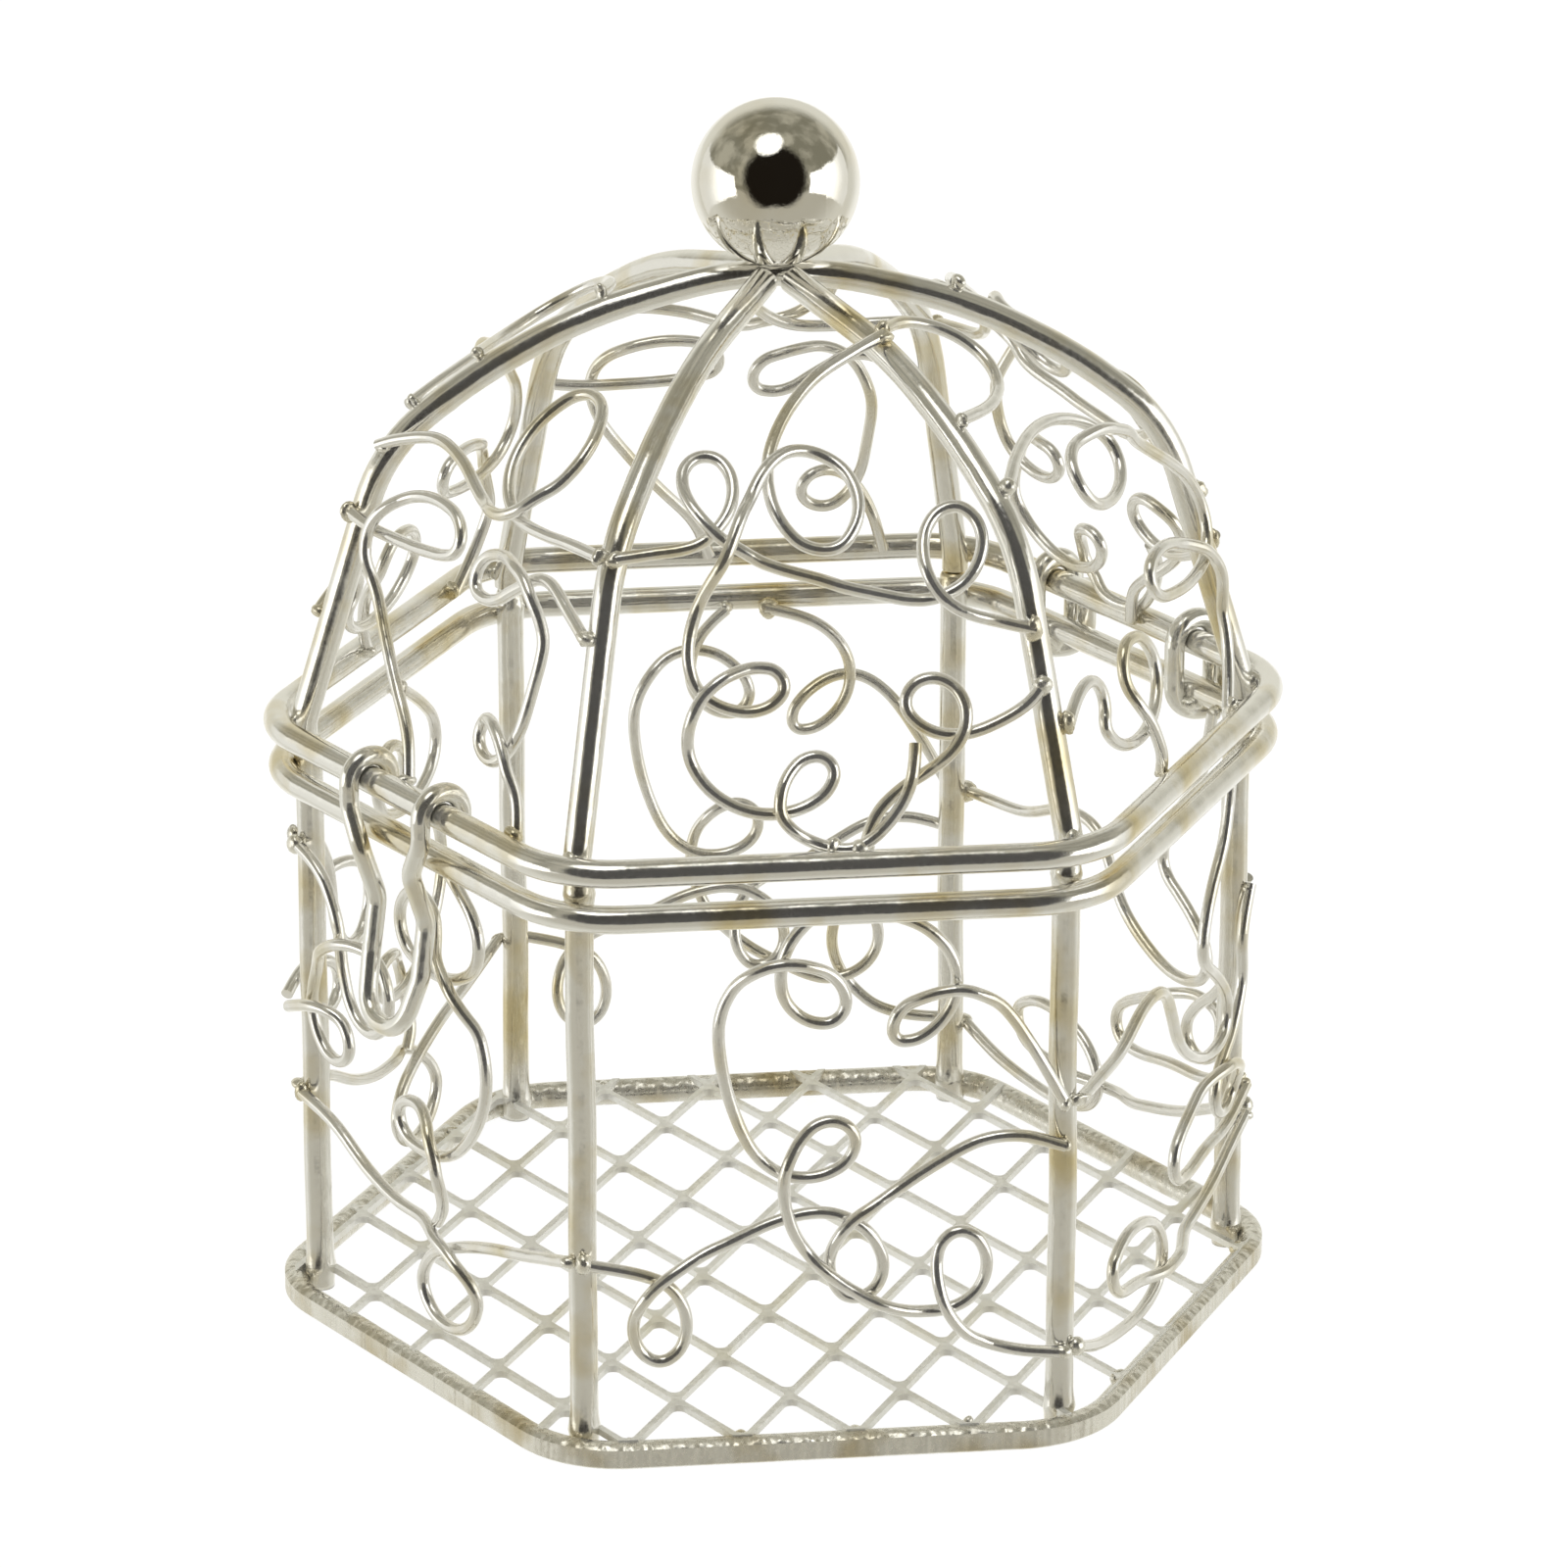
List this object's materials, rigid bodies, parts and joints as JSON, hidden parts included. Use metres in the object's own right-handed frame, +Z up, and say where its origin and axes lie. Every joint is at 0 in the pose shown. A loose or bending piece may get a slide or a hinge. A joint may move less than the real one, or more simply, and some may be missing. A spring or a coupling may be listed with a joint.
{
  "type": "wedding card box",
  "caption": "Small hexagonal cage box of silver-plated wire scrolls, with a mesh floor, a hinged domed lid with a ball on top, and a springy wire catch.",
  "frame": {"origin": "on the ground under the middle of the box", "axes": "+Z up, the hinge at +Y, the catch at -Y"},
  "size_m": [0.0744, 0.0704, 0.0905],
  "materials": {
    "frame_plating": "bright silver plating on round steel wire, faint warm tint at the soldered joints",
    "scroll_plating": "bright silver plating on thin round wire",
    "spring_wire_plating": "bright silver plating on springy round wire",
    "ground_ring_plating": "silver plating over coarse upright grinding marks",
    "mesh_plating": "pale satin silver plating on expanded mesh",
    "finial_plating": "mirror-bright silver plating on a round bead"
  },
  "bodies": {
    "cage": {"base_ring": "ground_ring_plating", "body_rim": "frame_plating", "body_scroll_back_1": "scroll_plating", "body_scroll_back_2": "scroll_plating", "body_scroll_back_3": "scroll_plating", "body_scroll_back_left_1": "scroll_plating", "body_scroll_back_left_2": "scroll_plating", "body_scroll_back_left_3": "scroll_plating", "body_scroll_back_right_1": "scroll_plating", "body_scroll_back_right_2": "scroll_plating", "body_scroll_back_right_3": "scroll_plating", "body_scroll_front_1": "scroll_plating", "body_scroll_front_2": "scroll_plating", "body_scroll_front_3": "scroll_plating", "body_scroll_front_left_1": "scroll_plating", "body_scroll_front_left_2": "scroll_plating", "body_scroll_front_left_3": "scroll_plating", "body_scroll_front_right_1": "scroll_plating", "body_scroll_front_right_2": "scroll_plating", "body_scroll_front_right_3": "scroll_plating", "floor_mesh": "mesh_plating", "hinge_loop_left": "spring_wire_plating", "hinge_loop_right": "spring_wire_plating", "post_back_left": "frame_plating", "post_back_right": "frame_plating", "post_front_left": "frame_plating", "post_front_right": "frame_plating", "post_left": "frame_plating", "post_right": "frame_plating"},
    "lid": {"finial_ball": "finial_plating", "lid_ring": "frame_plating", "lid_scroll_back_1": "scroll_plating", "lid_scroll_back_2": "scroll_plating", "lid_scroll_back_3": "scroll_plating", "lid_scroll_back_left_1": "scroll_plating", "lid_scroll_back_left_2": "scroll_plating", "lid_scroll_back_left_3": "scroll_plating", "lid_scroll_back_right_1": "scroll_plating", "lid_scroll_back_right_2": "scroll_plating", "lid_scroll_back_right_3": "scroll_plating", "lid_scroll_front_1": "scroll_plating", "lid_scroll_front_2": "scroll_plating", "lid_scroll_front_3": "scroll_plating", "lid_scroll_front_left_1": "scroll_plating", "lid_scroll_front_left_2": "scroll_plating", "lid_scroll_front_left_3": "scroll_plating", "lid_scroll_front_right_1": "scroll_plating", "lid_scroll_front_right_2": "scroll_plating", "lid_scroll_front_right_3": "scroll_plating", "long_rib": "frame_plating", "rib_back_left": "frame_plating", "rib_front_right": "frame_plating", "rib_left": "frame_plating", "rib_right": "frame_plating"},
    "catch": {"catch": "spring_wire_plating"}
  },
  "joints": [
    {"name": "lid_hinge", "type": "hinge", "parent": "cage", "child": "lid", "pos_m": [0, 0.03242, 0.0452], "axis": [-1, 0, 0], "range_deg": [0, 105]},
    {"name": "catch_flex", "type": "hinge", "parent": "lid", "child": "catch", "pos_m": [0, -0.03242, 0.0452], "axis": [-1, 0, 0], "range_deg": [0, 8], "stiffness_Nm_per_rad": 0.3}
  ]
}
